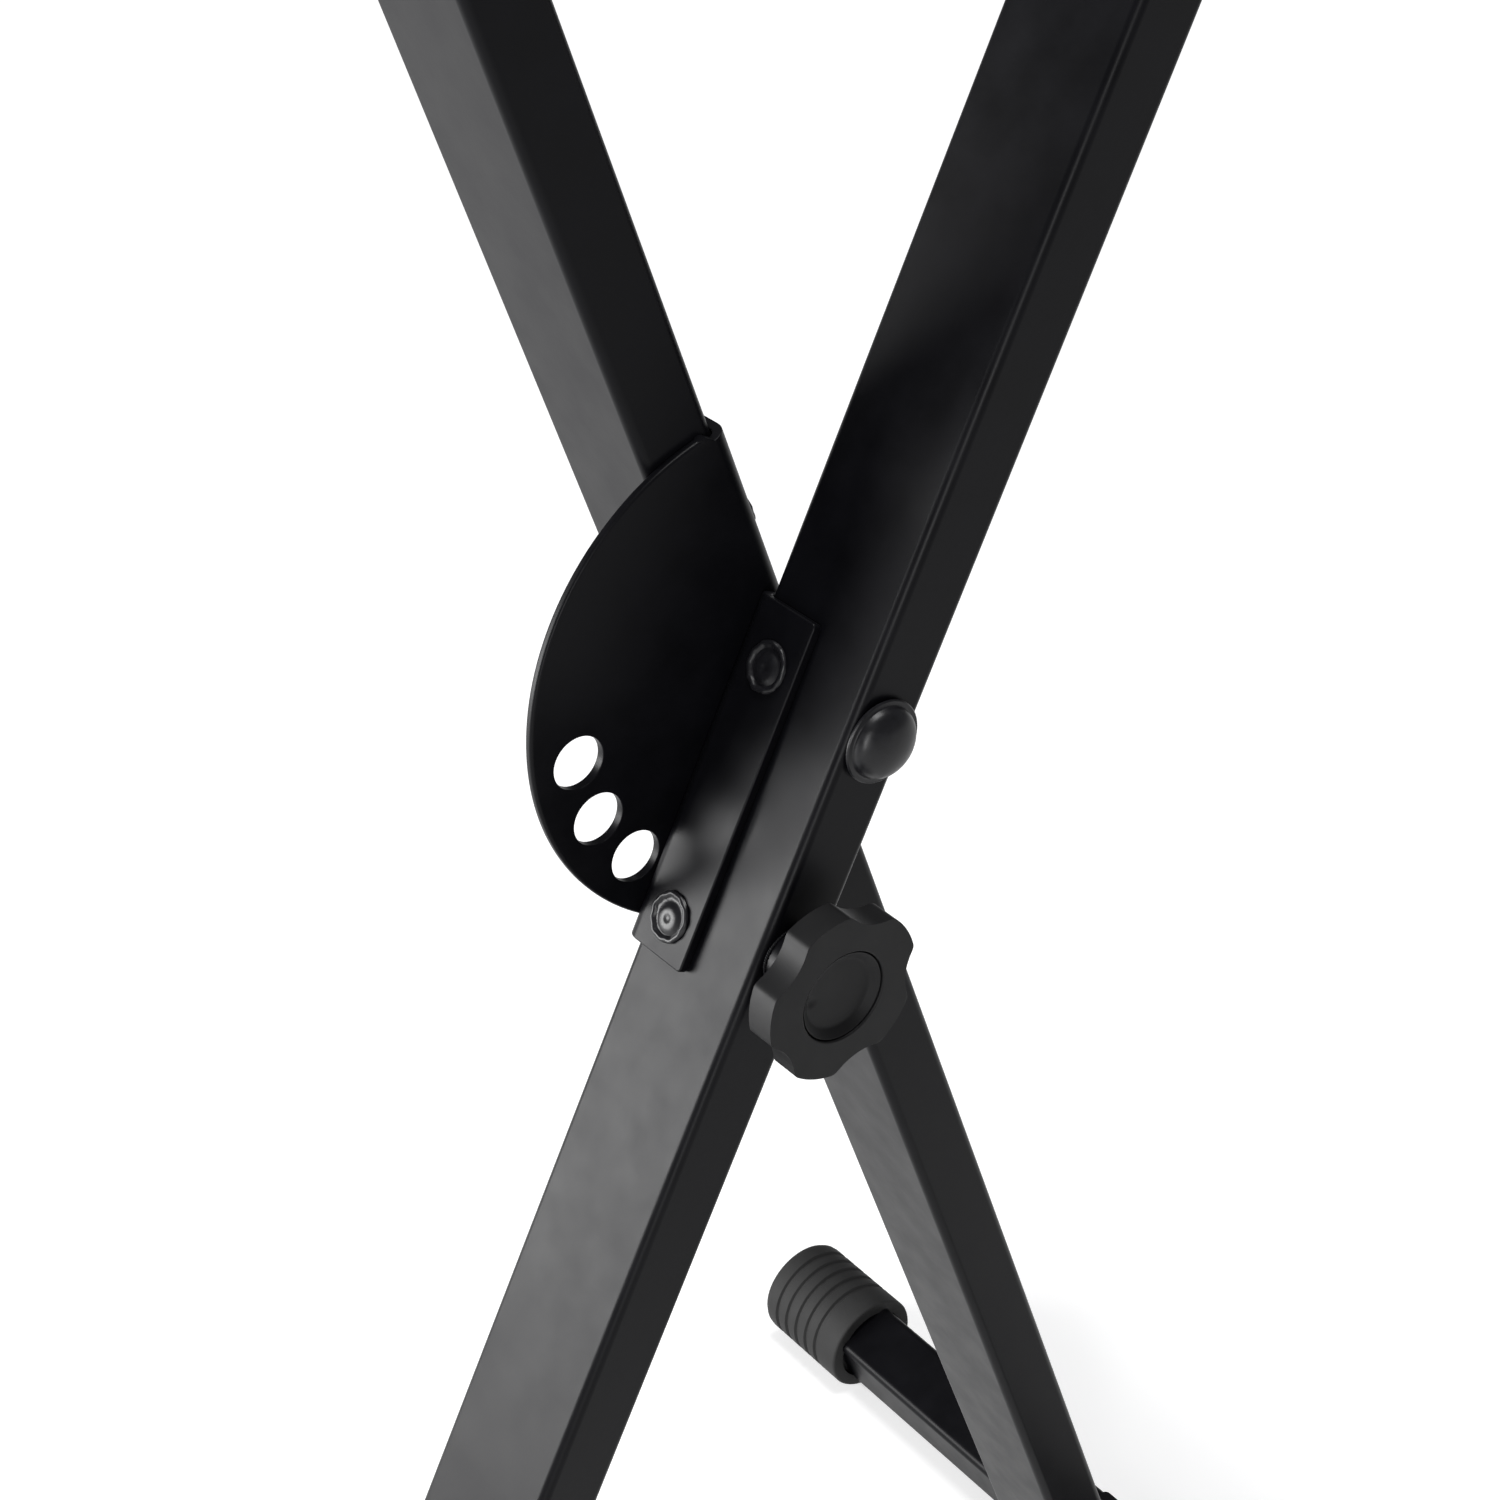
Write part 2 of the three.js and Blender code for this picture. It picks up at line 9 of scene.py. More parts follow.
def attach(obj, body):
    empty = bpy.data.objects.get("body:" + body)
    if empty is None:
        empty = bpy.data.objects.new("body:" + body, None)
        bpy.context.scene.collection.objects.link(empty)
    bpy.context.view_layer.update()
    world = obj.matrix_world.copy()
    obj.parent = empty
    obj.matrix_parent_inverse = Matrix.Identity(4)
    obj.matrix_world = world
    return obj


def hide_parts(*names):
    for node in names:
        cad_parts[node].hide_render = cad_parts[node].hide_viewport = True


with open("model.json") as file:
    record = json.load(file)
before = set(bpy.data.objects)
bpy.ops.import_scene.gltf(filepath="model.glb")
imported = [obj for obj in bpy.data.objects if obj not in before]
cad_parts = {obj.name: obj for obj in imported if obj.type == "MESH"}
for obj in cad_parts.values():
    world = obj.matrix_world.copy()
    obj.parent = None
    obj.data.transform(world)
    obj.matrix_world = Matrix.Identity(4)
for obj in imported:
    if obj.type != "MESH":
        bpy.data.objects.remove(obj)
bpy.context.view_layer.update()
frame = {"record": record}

# ---------- sizes in millimetres, as in the frame ----------
slip = 0.3
tube_width = 20
tube_depth = 40
tube_wall = 1.2
tube_corner = 2.5
half_length = 485
sheet = 2.5
bend_radius = 2
flange_depth = 22.5
rest_opening = 46.5
opening_step = 19
lock_radius = 56
lock_hole = 14
plate_radius = 69
plate_chamfer = 2
bracket_top = 19
bracket_bottom = 73
bracket_tongue = 8
rivet_setback = {-1: 13, 1: 12}
rivet_head = 13
pivot_bolt = 10
pivot_head = 21.6
pivot_head_seat = 19
pivot_head_flange = 1.8
pivot_dome = 18.6
pivot_head_height = 6.8
knob_diameter = 44
knob_lobes = 5
knob_scallop = 29
knob_scallop_depth = 2.9
knob_phase = 57
knob_rim = 8
knob_edge = 0.8
knob_dish = 24
knob_dish_depth = 4
cover_floor = 1.4
knob_web = 1
knob_hub_wall = 1.9
knob_stroke = 6
stud_radius = 57.5
stud_diameter = 10
stud_pitch = 1.5
stud_seat = 3.2
boss_outer = 16
boss_height = 5.5
bar_size = 25
bar_wall = 1.2
bar_corner = 3
floor_bar_length = 420
top_arm_length = 350
end_plate = 3
bar_offset = 20.3
bar_bolt_diameter = 8
bar_bolt_spacing = 24
foot_radius = 19.87  # the frame's faceted 20 mm rounds reach this far
foot_length = 45
cap_end_wall = 4
sleeve_radius = 19
sleeve_length = 95
lip_length = 12
lip_radius = 19.87
lip_rise = 10

lean = math.radians(rest_opening / 2)
outer_face = sheet + tube_depth
tube_middle = sheet + tube_depth / 2
flange_inner = tube_width / 2 + slip
flange_outer = flange_inner + sheet
bend_x = flange_outer - bend_radius - sheet
bar_axis = half_length + end_plate + slip + bar_size / 2
hub_end = -(outer_face + knob_stroke)
boss_top = -(outer_face + boss_height)
hub_recess = boss_top - knob_stroke - slip
stud_start = hub_recess - stud_seat
dish_floor = stud_start - knob_web
knob_face = dish_floor - knob_dish_depth

joints = {joint["name"]: joint for joint in frame["record"]["behaviour"]["joints"]}
pivot = Vector(joints["fold"]["pos_m"])
to_metres = Matrix.Scale(0.001, 4)
leg_place = {
    side: Matrix.Translation(pivot) @ Matrix.Rotation(-side * lean, 4, "Y") @ to_metres
    for side in (-1, 1)
}
knob_place = leg_place[-1] @ Matrix.Translation((0, 0, -stud_radius))
leg_name = {-1: "front", 1: "rear"}
leg_body = {-1: "front_leg", 1: "rear_leg"}


# ---------- materials ----------
def linear(hex_colour):
    """sRGB hex to linear RGBA."""
    parts = [int(hex_colour[i:i + 2], 16) / 255 for i in (1, 3, 5)]
    return [p / 12.92 if p <= 0.04045 else ((p + 0.055) / 1.055) ** 2.4 for p in parts] + [1.0]


def add(tree, kind, inputs=None, **settings):
    """Adds a node; an input is a value or another node's output."""
    made = tree.nodes.new(kind)
    for name, value in settings.items():
        setattr(made, name, value)
    for name, value in (inputs or {}).items():
        if isinstance(value, bpy.types.NodeSocket):
            tree.links.new(value, made.inputs[name])
        else:
            made.inputs[name].default_value = value
    return made


def start_material(name, **shader):
    material = bpy.data.materials.new(name)
    material.use_nodes = True
    tree = material.node_tree
    tree.nodes.clear()
    surface = add(tree, "ShaderNodeBsdfPrincipled", {key.replace("_", " "): v for key, v in shader.items()})
    add(tree, "ShaderNodeOutputMaterial", {"Surface": surface.outputs[0]})
    place = add(tree, "ShaderNodeTexCoord").outputs["Object"]
    return material, tree, surface, place


def per_mm(size):
    """Texture scale whose features are about `size` millimetres wide."""
    return 1000 / size


def spread(tree, value, low, high, start=0.3, end=0.7):
    """Maps a pattern's middle range to the wanted range."""
    return add(tree, "ShaderNodeMapRange", {
        "Value": value, "From Min": start, "From Max": end, "To Min": low, "To Max": high,
    }).outputs[0]


def shades(tree, value, dark, light):
    ramp = add(tree, "ShaderNodeValToRGB", {"Fac": value})
    ramp.color_ramp.elements[0].position = 0.3
    ramp.color_ramp.elements[0].color = linear(dark)
    ramp.color_ramp.elements[1].position = 0.7
    ramp.color_ramp.elements[1].color = linear(light)
    return ramp.outputs["Color"]


def powder_coat():
    """Satin polyester powder coat on mild steel: cured powder flows into a soft orange peel
    with waves of 1 to 2 mm, so reflections are broad and slightly mottled."""
    material, tree, surface, place = start_material(
        "satin_powder_coat", IOR=1.5, Specular_IOR_Level=0.09, Metallic=0.0)
    mottle = add(tree, "ShaderNodeTexNoise", {
        "Vector": place, "Scale": per_mm(14), "Detail": 3.0, "Roughness": 0.55}).outputs["Fac"]
    peel = add(tree, "ShaderNodeTexNoise", {
        "Vector": place, "Scale": per_mm(1.6), "Detail": 2.0, "Roughness": 0.5}).outputs["Fac"]
    grit = add(tree, "ShaderNodeTexNoise", {
        "Vector": place, "Scale": per_mm(0.5), "Detail": 1.0}).outputs["Fac"]
    tree.links.new(shades(tree, mottle, "#060608", "#0a0a0d"), surface.inputs["Base Color"])
    tree.links.new(spread(tree, mottle, 0.34, 0.41), surface.inputs["Roughness"])
    wave = add(tree, "ShaderNodeBump", {"Height": peel, "Strength": 0.35, "Distance": 0.00003}).outputs[0]
    fine = add(tree, "ShaderNodeBump", {
        "Height": grit, "Strength": 0.25, "Distance": 0.00001, "Normal": wave}).outputs[0]
    tree.links.new(fine, surface.inputs["Normal"])
    return material


def blackened_steel():
    """Cold-formed steel fastener with a thin black e-coat: smoother and a little glossier than
    the tubes, with faint marks from the heading tool."""
    material, tree, surface, place = start_material(
        "black_coated_fastener_steel", IOR=1.52, Specular_IOR_Level=0.22, Metallic=0.0)
    marks = add(tree, "ShaderNodeTexNoise", {
        "Vector": place, "Scale": per_mm(2.2), "Detail": 4.0, "Roughness": 0.6}).outputs["Fac"]
    tree.links.new(shades(tree, marks, "#0d0d0f", "#141417"), surface.inputs["Base Color"])
    tree.links.new(spread(tree, marks, 0.30, 0.40), surface.inputs["Roughness"])
    bump = add(tree, "ShaderNodeBump", {"Height": marks, "Strength": 0.3, "Distance": 0.00003}).outputs[0]
    tree.links.new(bump, surface.inputs["Normal"])
    return material


def zinc_plate():
    """Bright zinc-plated turned steel: pale bluish grey metal with fine tool marks and a cloudy
    passivated film."""
    material, tree, surface, place = start_material("bright_zinc_plate", Metallic=1.0)
    cloud = add(tree, "ShaderNodeTexNoise", {
        "Vector": place, "Scale": per_mm(5), "Detail": 3.0}).outputs["Fac"]
    turning = add(tree, "ShaderNodeTexNoise", {
        "Vector": place, "Scale": per_mm(0.4), "Detail": 1.0}).outputs["Fac"]
    tree.links.new(shades(tree, cloud, "#a9adb2", "#c2c5c8"), surface.inputs["Base Color"])
    tree.links.new(spread(tree, cloud, 0.24, 0.36), surface.inputs["Roughness"])
    bump = add(tree, "ShaderNodeBump", {"Height": turning, "Strength": 0.3, "Distance": 0.00001}).outputs[0]
    tree.links.new(bump, surface.inputs["Normal"])
    return material


def moulded_nylon():
    """Injection-moulded black glass-filled nylon from a spark-eroded tool: dry matt skin with
    0.2 mm grains, drawn 0.35 mm wide so that they show."""
    material, tree, surface, place = start_material(
        "moulded_black_nylon", IOR=1.53, Specular_IOR_Level=0.16, Metallic=0.0)
    flow = add(tree, "ShaderNodeTexNoise", {
        "Vector": place, "Scale": per_mm(9), "Detail": 2.0}).outputs["Fac"]
    grain = add(tree, "ShaderNodeTexVoronoi", {"Vector": place, "Scale": per_mm(0.35)}).outputs["Distance"]
    tree.links.new(shades(tree, flow, "#09090a", "#0e0e0f"), surface.inputs["Base Color"])
    tree.links.new(spread(tree, flow, 0.50, 0.58), surface.inputs["Roughness"])
    bump = add(tree, "ShaderNodeBump", {"Height": grain, "Strength": 0.3, "Distance": 0.00003}).outputs[0]
    tree.links.new(bump, surface.inputs["Normal"])
    return material


def moulded_rubber():
    """Compression-moulded black rubber: dull, slightly greyed where it has been handled, with a
    fine pebbled skin."""
    material, tree, surface, place = start_material(
        "moulded_black_rubber", IOR=1.52, Specular_IOR_Level=0.35, Metallic=0.0)
    bloom = add(tree, "ShaderNodeTexNoise", {
        "Vector": place, "Scale": per_mm(18), "Detail": 5.0, "Roughness": 0.6}).outputs["Fac"]
    pebble = add(tree, "ShaderNodeTexVoronoi", {"Vector": place, "Scale": per_mm(0.8)}).outputs["Distance"]
    tree.links.new(shades(tree, bloom, "#141414", "#202020"), surface.inputs["Base Color"])
    tree.links.new(spread(tree, bloom, 0.68, 0.82), surface.inputs["Roughness"])
    bump = add(tree, "ShaderNodeBump", {"Height": pebble, "Strength": 0.35, "Distance": 0.00006}).outputs[0]
    tree.links.new(bump, surface.inputs["Normal"])
    return material


finishes = {
    "black_paint": powder_coat(),
    "black_steel": blackened_steel(),
    "zinc_steel": zinc_plate(),
    "knob_plastic": moulded_nylon(),
    "rubber": moulded_rubber(),
}


# ---------- shaping, in millimetres in the leg's own frame ----------
def block(bm, size, centre):
    made = bmesh.ops.create_cube(bm, size=1.0)["verts"]
    bmesh.ops.scale(bm, vec=Vector(size), verts=made)
    bmesh.ops.translate(bm, vec=Vector(centre), verts=made)
    return made


def ease(bm, edges, radius, segments=3):
    """Rounds the given edges."""
    return bmesh.ops.bevel(
        bm, geom=list(edges), offset=radius, offset_type="OFFSET", affect="EDGES", segments=segments,
        profile=0.5, material=-1, clamp_overlap=True, loop_slide=False)


def edges_along(bm, axis):
    """Edges that run along X (0), Y (1) or Z (2)."""
    found = []
    for edge in bm.edges:
        run = (edge.verts[0].co - edge.verts[1].co).normalized()
        if abs(run[axis]) > 0.999:
            found.append(edge)
    return found


def sharp_edges(bm, degrees=50):
    limit = math.radians(degrees)
    return [e for e in bm.edges if len(e.link_faces) == 2 and e.calc_face_angle(0) > limit]


def turned(profile, sides=64):
    """Spins (radius, y) pairs about the Y axis."""
    bm = bmesh.new()
    verts = [bm.verts.new((r, y, 0)) for r, y in profile]
    edges = [bm.edges.new(pair) for pair in zip(verts, verts[1:])]
    bmesh.ops.spin(bm, geom=verts + edges, cent=(0, 0, 0), axis=(0, 1, 0), angle=2 * math.pi,
                   steps=sides, use_merge=True)
    bmesh.ops.remove_doubles(bm, verts=bm.verts, dist=0.0005)
    bmesh.ops.recalc_face_normals(bm, faces=bm.faces)
    return bm


def ring(bm, radius, x, z, y, segments=48):
    """Open circle about a Y axis."""
    place = Matrix.Translation((x, y, z)) @ Matrix.Rotation(math.pi / 2, 4, "X")
    return bmesh.ops.create_circle(bm, cap_ends=False, radius=radius, segments=segments, matrix=place)["verts"]


def fill_and_thicken(bm, thickness):
    """Fills the drawn outlines in the XZ plane, holes left open, and pulls them along +Y."""
    bmesh.ops.remove_doubles(bm, verts=bm.verts, dist=0.001)
    bmesh.ops.triangle_fill(bm, use_beauty=True, use_dissolve=False, edges=bm.edges)
    pulled = bmesh.ops.extrude_face_region(bm, geom=bm.faces[:])
    top = [item for item in pulled["geom"] if isinstance(item, bmesh.types.BMVert)]
    bmesh.ops.translate(bm, vec=(0, thickness, 0), verts=top)
    bmesh.ops.recalc_face_normals(bm, faces=bm.faces)


def bend_flange(bm, side_x):
    """Bends the edge face at X = side_x back round the tube's edge and runs it down its side."""
    end = [f for f in bm.faces if all(abs(v.co.x - side_x) < 0.01 for v in f.verts)]
    geom = end + list({e for f in end for e in f.edges}) + list({v for f in end for v in f.verts})
    bent = bmesh.ops.spin(
        bm, geom=geom, cent=(bend_x, bend_radius + sheet, 0), axis=(0, 0, 1), angle=math.pi / 2,
        steps=8, use_duplicate=False, use_merge=False)["geom_last"]
    last = [f for f in bent if isinstance(f, bmesh.types.BMFace)]
    pulled = bmesh.ops.extrude_face_region(bm, geom=last)
    ahead = [item for item in pulled["geom"] if isinstance(item, bmesh.types.BMVert)]
    bmesh.ops.translate(bm, vec=(0, flange_depth - bend_radius - sheet, 0), verts=ahead)
    stale = [f for f in end + last if f.is_valid]
    bmesh.ops.delete(bm, geom=stale, context="FACES_ONLY")
    bmesh.ops.recalc_face_normals(bm, faces=bm.faces)


def finish(name, bm, place, body, slot, *nodes, smooth_to=35, flat_faces=True):
    """Makes the shaped mesh a piece of the stand, in metres, riding on its body."""
    bmesh.ops.transform(bm, matrix=place, verts=bm.verts)
    for face in bm.faces:
        face.smooth = True
    limit = math.radians(smooth_to)
    for edge in bm.edges:
        edge.smooth = edge.calc_face_angle(0) < limit
    mesh = bpy.data.meshes.new(name)
    bm.to_mesh(mesh)
    bm.free()
    piece = bpy.data.objects.new(name, mesh)
    bpy.context.scene.collection.objects.link(piece)
    if flat_faces:
        keep = piece.modifiers.new("even_shading", "WEIGHTED_NORMAL")
        keep.keep_sharp = True
        keep.weight = 100
    mesh.materials.append(finishes[slot])
    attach(piece, body)
    if nodes:
        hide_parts(*nodes)
    return piece


# ---------- leg tubes, bars and end plates ----------
def tube_with_open_ends(size, centre, axis, corner, wall, depth):
    """Rectangular tube: rounded long edges and a wall seen at both ends."""
    bm = bmesh.new()
    block(bm, size, centre)
    ease(bm, edges_along(bm, axis), corner, 6)
    ends = [f for f in bm.faces if abs(f.normal[axis]) > 0.99]
    bmesh.ops.inset_region(bm, faces=ends, thickness=wall, use_even_offset=True)
    for end in ends:
        outward = end.normal.copy()
        pulled = bmesh.ops.extrude_discrete_faces(bm, faces=[end])["faces"]
        bmesh.ops.translate(bm, vec=-outward * depth, verts=pulled[0].verts)
    bmesh.ops.recalc_face_normals(bm, faces=bm.faces)
    return bm


def leg_tube(side):
    bm = tube_with_open_ends(
        (tube_width, tube_depth, 2 * half_length), (0, side * tube_middle, 0), 2, tube_corner, tube_wall, 25)
    name = leg_name[side]
    finish(f"{name}_leg_rolled_tube", bm, leg_place[side], leg_body[side], "black_paint", f"{name}_leg_tube")


def bar(side, end, out, length, kind):
    bm = tube_with_open_ends(
        (bar_size, length, bar_size), (out * bar_offset, 0, end * bar_axis), 1, bar_corner, bar_wall, 25)
    node = f"{leg_name[side]}_{kind}"
    finish(f"{node}_rolled_tube", bm, leg_place[side], leg_body[side], "black_paint", node)


def weld_bead(bm, points, radius=1.7, ripple=2.0):
    """Row of overlapping weld ripples along a polyline."""
    for start, stop in zip(points, points[1:]):
        run = Vector(stop) - Vector(start)
        count = max(2, round(run.length / ripple))
        for k in range(count):
            at = Vector(start) + run * (k + 0.5) / count
            swell = 1 + 0.10 * math.sin(7.3 * k + 2.1 * at.length)
            drop = bmesh.ops.create_icosphere(bm, subdivisions=2, radius=radius * swell)["verts"]
            bmesh.ops.translate(bm, vec=at, verts=drop)


def end_plate_piece(side, end, out, place_name):
    inner = -out * tube_width / 2
    outer = out * (bar_offset + bar_size / 2 - slip)
    bm = bmesh.new()
    block(bm, (abs(outer - inner), tube_depth, end_plate),
          ((inner + outer) / 2, side * tube_middle, end * (half_length + end_plate / 2)))
    ease(bm, edges_along(bm, 2), tube_corner, 5)
    ease(bm, sharp_edges(bm), 0.4, 2)
    node = f"{leg_name[side]}_{place_name}_plate"
    finish(f"{node}_cut", bm, leg_place[side], leg_body[side], "black_paint", node)
    # fillet weld between the leg and the plate, on the plate's inner face
    half = tube_depth / 2 - 1.5
    x = out * (tube_width / 2 + 0.6)
    z = end * (half_length - 0.6)
    bead = bmesh.new()
    weld_bead(bead, [(x, side * tube_middle - half, z), (x, side * tube_middle + half, z)])
    finish(f"{node}_weld", bead, leg_place[side], leg_body[side], "black_paint", flat_faces=False)


# ---------- sheet parts ----------
def front_bracket():
    """Bent sheet: a strip between the legs, with holes for the pivot bolt and the stud, and a
    flange on the front leg's left side."""
    bm = bmesh.new()
    strip = Matrix.Diagonal((bracket_tongue + bend_x, bracket_top + bracket_bottom, 1, 1))
    upright = Matrix.Rotation(math.pi / 2, 4, "X")
    middle = Matrix.Translation(((bend_x - bracket_tongue) / 2, 0, (bracket_top - bracket_bottom) / 2))
    bmesh.ops.create_grid(bm, x_segments=1, y_segments=1, size=0.5, matrix=middle @ upright @ strip)
    bmesh.ops.delete(bm, geom=bm.faces[:], context="FACES_ONLY")
    ring(bm, pivot_bolt / 2 + slip, 0, 0, 0)
    ring(bm, stud_diameter / 2 + slip, 0, -stud_radius, 0)
    fill_and_thicken(bm, sheet)
    bend_flange(bm, bend_x)
    corners = [e for e in sharp_edges(bm, 60)
               if all(v.co.y > flange_depth - 0.01 for v in e.verts) and abs((e.verts[0].co - e.verts[1].co).x) > 1]
    ease(bm, corners, 1.2, 3)
    ease(bm, sharp_edges(bm, 60), 0.5, 3)
    bmesh.ops.rotate(bm, verts=bm.verts, cent=(0, 0, 0), matrix=Matrix.Rotation(math.pi, 3, "Z"))
    finish("front_bracket_pressed", bm, leg_place[-1], "front_leg", "black_paint", "front_bracket")


def locking_plate():
    """Half-round sheet with its lock holes, its straight edge bent back along the rear leg."""
    corner_z = math.sqrt(plate_radius ** 2 - bend_x ** 2) - plate_chamfer
    arc_start = math.acos((bend_x - plate_chamfer) / plate_radius)
    bm = bmesh.new()
    first = bm.verts.new((plate_radius * math.cos(arc_start), 0, plate_radius * math.sin(arc_start)))
    arc = bmesh.ops.spin(bm, geom=[first], cent=(0, 0, 0), axis=(0, -1, 0),
                         angle=2 * math.pi - 2 * arc_start, steps=96)["geom_last"]
    last = next(v for v in arc if isinstance(v, bmesh.types.BMVert))
    top = bm.verts.new((bend_x, 0, corner_z))
    bottom = bm.verts.new((bend_x, 0, -corner_z))
    for pair in ((top, first), (last, bottom), (bottom, top)):
        bm.edges.new(pair)
    for opening in (0, *(rest_opening + k * opening_step for k in range(4))):
        angle = math.radians(opening)
        ring(bm, lock_hole / 2, -lock_radius * math.sin(angle), -lock_radius * math.cos(angle), 0)
    ring(bm, pivot_bolt / 2 + slip, 0, 0, 0)
    fill_and_thicken(bm, sheet)
    bend_flange(bm, bend_x)
    corners = sharp_edges(bm, 60)
    outer = [e for e in corners if all(
        math.hypot(v.co.x, v.co.z) > plate_radius - 3 and v.co.x < bend_x for v in e.verts)]
    ease(bm, [e for e in corners if e not in outer], 0.35, 2)
    ease(bm, [e for e in outer if e.is_valid], 0.85, 4)
    finish("locking_plate_pressed", bm, leg_place[1], "rear_leg", "black_paint", "locking_plate")


def rivet(side, height, node):
    """Set rivet: a low rim with a ragged crater struck by the setting punch, and the end of the
    shank standing in it, a little off its middle, with the punch's centre mark."""
    face = flange_outer + slip
    thicker = 1.9 if side > 0 else 1
    rim = [(rivet_head / 2, 0), (rivet_head / 2, 0.4), (6.25, 0.72), (5.9, 0.85), (5.5, 0.78)]
    crater = [(5.2, 0.5), (4.9, 0.2), (4.6, 0.08), (4.2, 0.08)]
    shank_end = [(3.8, 0.3), (3.3, 0.7), (2.5, 0.92), (1.6, 1.0), (1.1, 0.95), (0.7, 0.75), (0, 0.7)]
    bm = turned([
        (0, 7.3), (3.9, 7.3), (4.5, 8.5), (3, 8.5), (3, face),
        *((radius, face + thicker * rise) for radius, rise in rim + crater + shank_end),
    ], 60)
    for vert in bm.verts:
        reach = math.hypot(vert.co.x, vert.co.z)
        if vert.co.y < face + 0.05:
            continue
        if reach > 4.7:
            turn = math.atan2(vert.co.z, vert.co.x)
            ragged = 0.14 * math.sin(11 * turn + height) + 0.12 * math.sin(5 * turn + 2 * height) - 0.1
            vert.co.x *= 1 + ragged / reach
            vert.co.z *= 1 + ragged / reach
        elif reach < 4.3:
            vert.co.x += side * 0.3
            vert.co.z -= 0.3
    lay = Matrix.Rotation(-side * math.pi / 2, 4, "Z")
    place = leg_place[side] @ Matrix.Translation((0, side * rivet_setback[side], height)) @ lay
    finish(f"{node}_set", bm, place, leg_body[side], "black_steel", node, smooth_to=45)


# ---------- pivot ----------
def thread(profile_start, profile_end, radius, pitch, depth):
    """Ridges of a screw thread as (radius, y) pairs."""
    count = int((profile_end - profile_start) / pitch)
    points = []
    for k in range(count):
        y = profile_start + k * pitch
        points += [(radius, y), (radius, y + 0.15 * pitch), (radius - depth, y + 0.55 * pitch),
                   (radius - depth, y + 0.7 * pitch)]
    return points


def pivot_bolt_piece():
    """Carriage-type bolt: dome on a thin flange, shank, and thread behind the nut."""
    rise = pivot_head_height - pivot_head_flange
    flange = -outer_face - pivot_head_flange
    dome = []
    for k in range(15):
        angle = math.radians(87) * k / 14
        dome.append((pivot_dome / 2 * math.sin(angle), flange - rise * math.cos(angle)))
    nut_end = outer_face + 12
    bm = turned([
        *dome, (pivot_dome / 2 + 0.15, flange - 0.08), (pivot_dome / 2 + 0.4, flange),
        (pivot_head / 2 - 0.3, flange), (pivot_head / 2, flange + 0.3), (pivot_head / 2, flange + 0.6),
        (pivot_head / 2 - 0.2, flange + 0.8), (pivot_head_seat / 2, -outer_face), (pivot_bolt / 2, -outer_face),
        (pivot_bolt / 2, nut_end - 11), *thread(nut_end - 10.9, nut_end + 1.2, pivot_bolt / 2, 1.5, 0.7),
        (pivot_bolt / 2 - 1, nut_end + 2), (0, nut_end + 2),
    ], 72)
    finish("pivot_bolt_headed", bm, leg_place[-1], "front_leg", "black_steel", "pivot_bolt", flat_faces=False)


def hex_nut(across_flats, bore, height, chamfer=0.9):
    """Nut about the Y axis from 0 to `height`: corners turned off at both faces."""
    bm = bmesh.new()
    radius = across_flats / 2 / math.cos(math.pi / 6)
    upright = Matrix.Rotation(math.pi / 2, 4, "X")
    bmesh.ops.create_circle(bm, cap_ends=False, radius=radius, segments=6, matrix=upright)
    ring(bm, bore / 2, 0, 0, 0, 36)
    fill_and_thicken(bm, height)
    rims = [e for e in sharp_edges(bm, 60) if all(math.hypot(v.co.x, v.co.z) > radius - 0.1 for v in e.verts)]
    ease(bm, [e for e in rims if abs(e.verts[0].co.y - e.verts[1].co.y) < 0.01], chamfer, 3)
    return bm


def pivot_fixings():
    washer = turned([(5.3, outer_face), (9.7, outer_face), (10, outer_face + 0.3), (10, outer_face + 1.7),
                     (9.7, outer_face + 2), (5.3, outer_face + 2), (5.3, outer_face)])
    finish("pivot_washer_stamped", washer, leg_place[-1], "front_leg", "zinc_steel", "pivot_washer")
    nut = hex_nut(17, 10.6, 10)
    place = leg_place[-1] @ Matrix.Translation((0, outer_face + 2, 0))
    finish("pivot_lock_nut_forged", nut, place, "front_leg", "zinc_steel", "pivot_lock_nut")
    for side in (-1, 1):
        half = tube_depth / 2 - tube_wall - slip
        near, far = side * tube_middle - half, side * tube_middle + half
        spacer = turned([(5.3, near), (6.7, near), (7, near + 0.3), (7, far - 0.3), (6.7, far), (5.3, far),
                         (5.3, near)])
        node = f"{leg_name[side]}_pivot_spacer"
        finish(f"{node}_cut", spacer, leg_place[side], leg_body[side], "zinc_steel", node)


# ---------- knob, about the stud's axis ----------
def lobed_reach(turn):
    """Distance from the stud's axis to the star's outline at an angle, bites blended in."""
    step = 2 * math.pi / knob_lobes
    off = (turn - math.radians(knob_phase)) % step - step / 2
    reach = knob_diameter / 2
    bite = knob_scallop / 2
    away = reach + bite - knob_scallop_depth
    if abs(away * math.sin(off)) < bite:
        reach = min(reach, away * math.cos(off) - math.sqrt(bite ** 2 - (away * math.sin(off)) ** 2))
    return reach


def knob_outline(bm, segments=360, blend=2):
    verts = ring(bm, 1.0, 0, 0, 0, segments)
    for vert in verts:
        turn = math.atan2(vert.co.z, vert.co.x)
        near = [lobed_reach(turn + math.radians(k)) for k in range(-blend, blend + 1)]
        vert.co *= sum(near) / len(near)
    return verts


